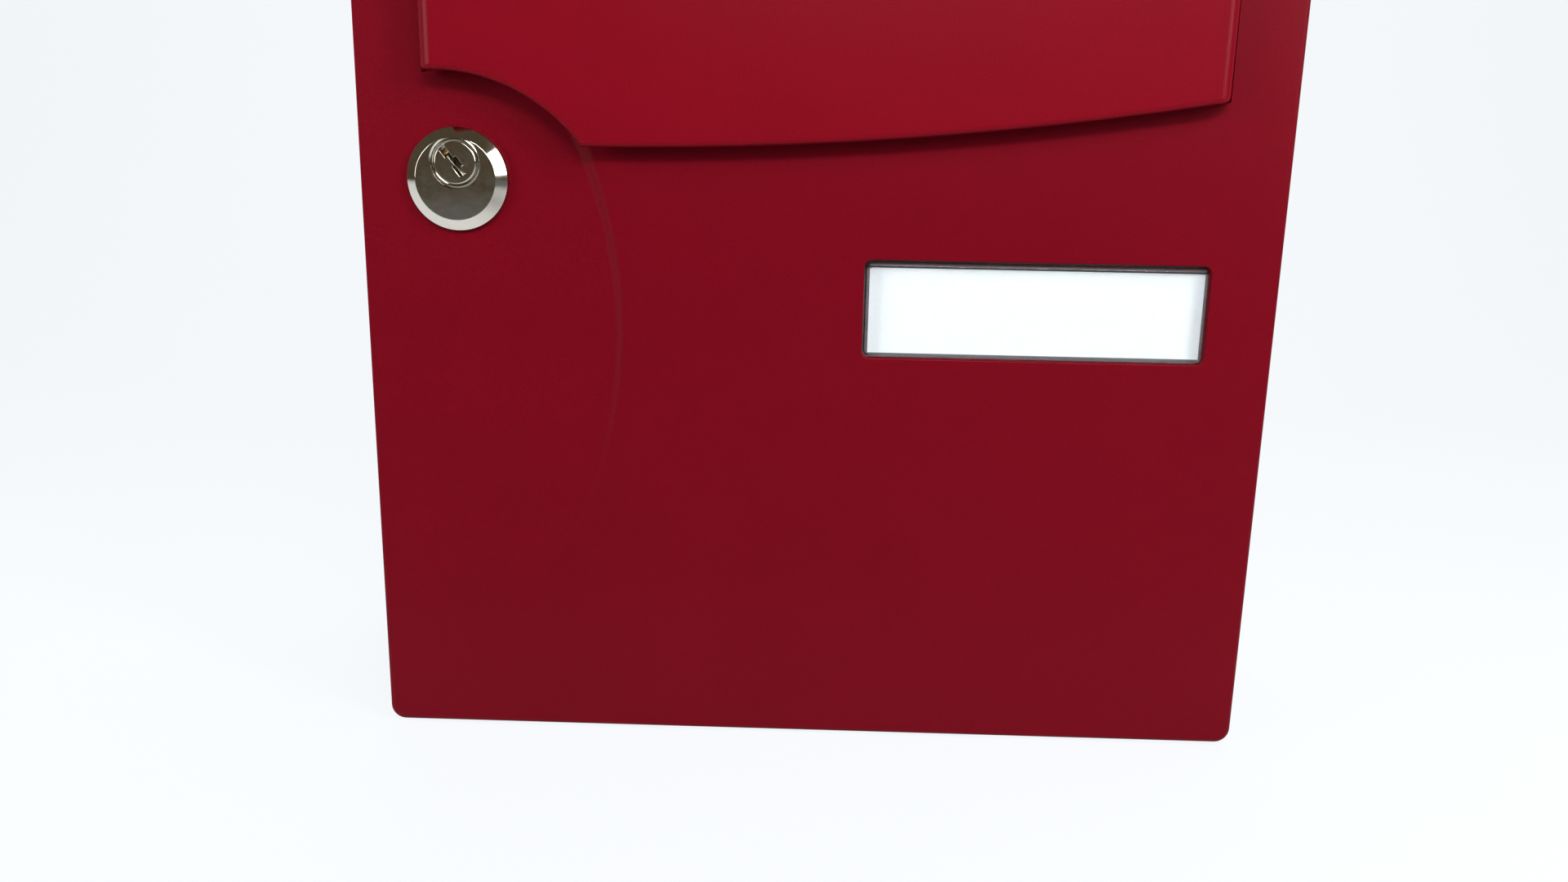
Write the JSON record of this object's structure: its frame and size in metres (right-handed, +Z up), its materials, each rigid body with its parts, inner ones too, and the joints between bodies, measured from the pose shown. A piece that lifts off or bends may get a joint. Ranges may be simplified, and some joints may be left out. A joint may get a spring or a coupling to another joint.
{
  "type": "wall letter box",
  "caption": "Wall letter box with a moulded red door, a wide letter flap, an off-centre cam lock and a clear name window, on a folded steel housing.",
  "frame": {"origin": "on the surface that the housing's bottom stands on, below the middle of the whole box", "axes": "+X to the right seen from the front, -Y out of the front, +Y to the wall, +Z up"},
  "size_m": [0.256, 0.11, 0.3276],
  "materials": {
    "painted_steel": "satin powder coat",
    "rivet_steel": "plain",
    "zinc_steel": "zinc plated",
    "door_plastic": "satin, fine grain",
    "flap_plastic": "satin, fine grain",
    "black_rubber": "matt",
    "nickel": "polished nickel",
    "wafer_brass": "plain",
    "clear_cover": "clear, polished",
    "white_card": "matt",
    "tray_plastic": "matt"
  },
  "bodies": {
    "housing": {"housing_shell": "painted_steel", "back_panel": "painted_steel", "rivets": "rivet_steel", "hinge_bracket_upper": "zinc_steel", "hinge_bracket_lower": "zinc_steel"},
    "door": {"door_panel": "door_plastic", "hinge_pin_upper": "zinc_steel", "hinge_pin_lower": "zinc_steel", "flap_rod": "zinc_steel", "flap_buffers": "black_rubber", "lock_body": "nickel", "lock_washer": "zinc_steel", "lock_nut": "nickel", "name_window": "clear_cover", "name_card": "white_card", "name_tray": "tray_plastic"},
    "flap": {"flap": "flap_plastic"},
    "plug": {"lock_plug": "nickel", "lock_wafers": "wafer_brass", "lock_cam": "zinc_steel", "cam_washer": "zinc_steel", "cam_screw": "zinc_steel"}
  },
  "joints": [
    {"name": "door_hinge", "type": "hinge", "parent": "housing", "child": "door", "pos_m": [0.121, -0.0395, 0.1638], "axis": [0, 0, 1], "range_deg": [0, 100]},
    {"name": "flap_hinge", "type": "hinge", "parent": "door", "child": "flap", "pos_m": [0, -0.0514, 0.3052], "axis": [-1, 0, 0], "range_deg": [0, 90]},
    {"name": "lock_turn", "type": "hinge", "parent": "door", "child": "plug", "pos_m": [-0.1004, -0.03, 0.1678], "axis": [0, 1, 0], "range_deg": [0, 90]}
  ]
}
